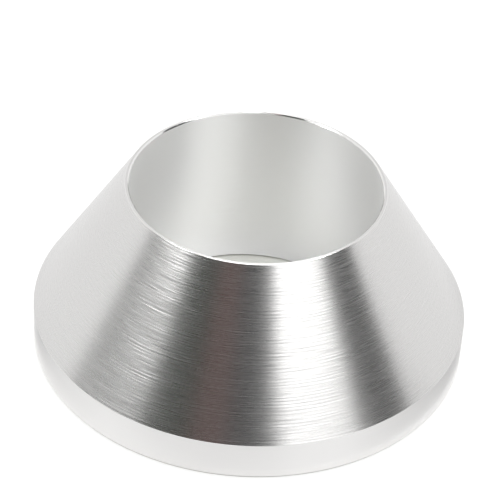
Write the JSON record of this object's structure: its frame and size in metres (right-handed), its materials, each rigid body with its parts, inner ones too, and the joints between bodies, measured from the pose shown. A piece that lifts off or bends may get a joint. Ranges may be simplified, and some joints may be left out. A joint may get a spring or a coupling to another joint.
{
  "type": "wheel centring cone",
  "caption": "Short hollow cone with a straight rim and a plain through bore; slides on a round post and centres a wheel by its hub hole.",
  "frame": {"origin": "centre of the bore on the flat face of the large end", "axes": "+Z along the bore, towards the small end; round, so +X and +Y are free"},
  "size_m": [0.086, 0.086, 0.0365],
  "materials": {
    "turned_aluminium": "bare, fine turned, with tool marks running round the axis"
  },
  "bodies": {
    "root": {"centring_cone": "turned_aluminium"}
  },
  "joints": []
}
